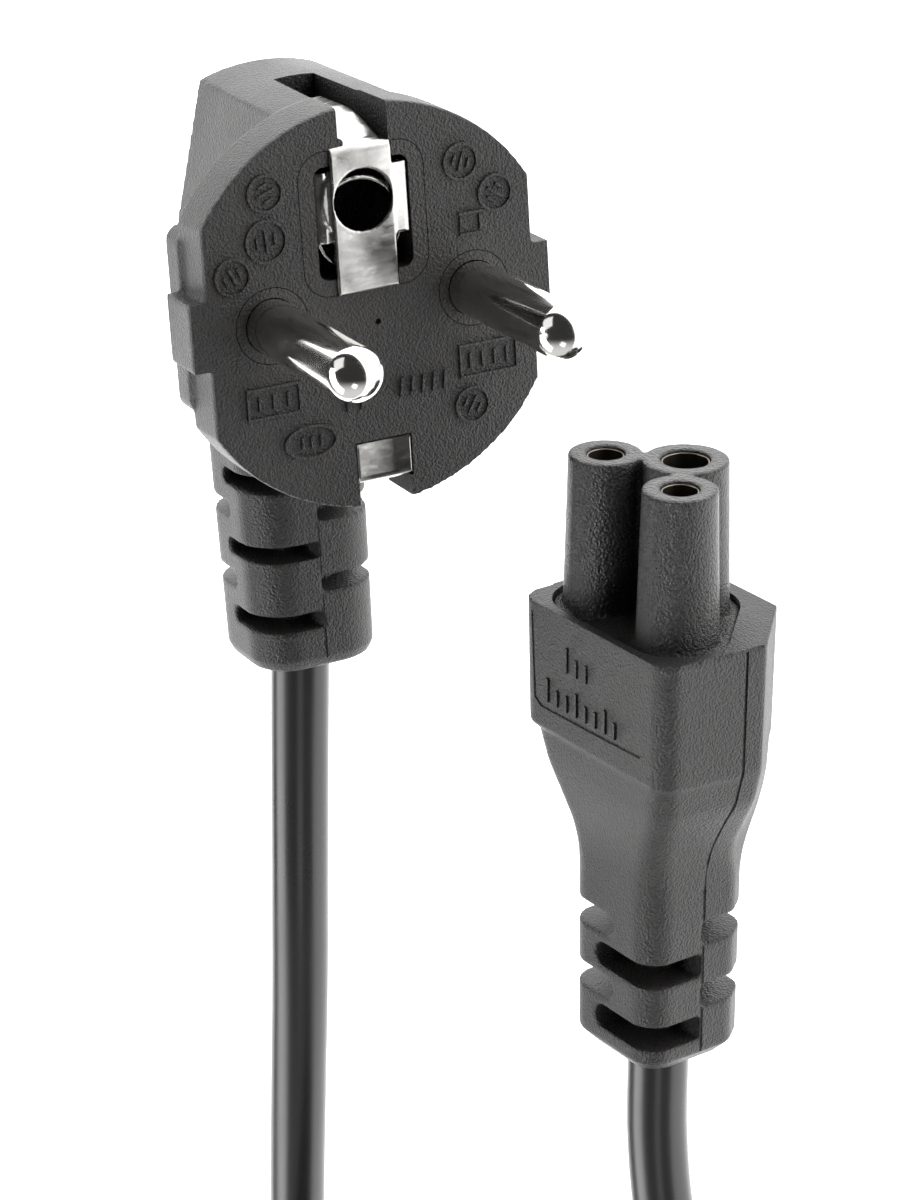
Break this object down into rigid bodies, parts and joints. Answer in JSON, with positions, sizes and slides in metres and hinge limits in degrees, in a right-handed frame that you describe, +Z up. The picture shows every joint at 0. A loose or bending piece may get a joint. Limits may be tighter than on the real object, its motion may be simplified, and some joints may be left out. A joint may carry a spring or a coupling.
{
  "type": "power cord",
  "caption": "Mains power cord with an angled earthed plug at one end and a straight cloverleaf connector at the other, its spare length wound in a tied coil",
  "frame": {"origin": "on the floor, under the middle of the plug and connector together", "axes": "+Z up, +X from the coil toward the plug's free end and out of the connector's mouth, +Y from the connector toward the plug's back; the pins point toward -Y and 22.6 degrees up"},
  "size_m": [0.2124, 0.0862, 0.0353],
  "materials": {
    "black_plastic": "fine spark-eroded texture",
    "insert_plastic": "satin",
    "tower_plastic": "glossy with slight orange peel",
    "pin_metal": "bright nickel plating",
    "contact_metal": "bright sheet metal",
    "socket_metal": "satin",
    "cord_sheath": "smooth satin",
    "tie_strap": "matte"
  },
  "bodies": {
    "root": {"plug_body": "black_plastic", "pin_bridge": "insert_plastic", "live_pin": "pin_metal", "neutral_pin": "pin_metal", "earth_contact": "contact_metal", "lower_earth_clip": "contact_metal", "connector_body": "black_plastic", "tower_block": "tower_plastic", "live_socket": "socket_metal", "neutral_socket": "socket_metal", "earth_socket": "socket_metal", "cord_plug_run": "cord_sheath", "cord_connector_run": "cord_sheath", "cord_coil": "cord_sheath", "coil_tie": "tie_strap"}
  },
  "joints": []
}
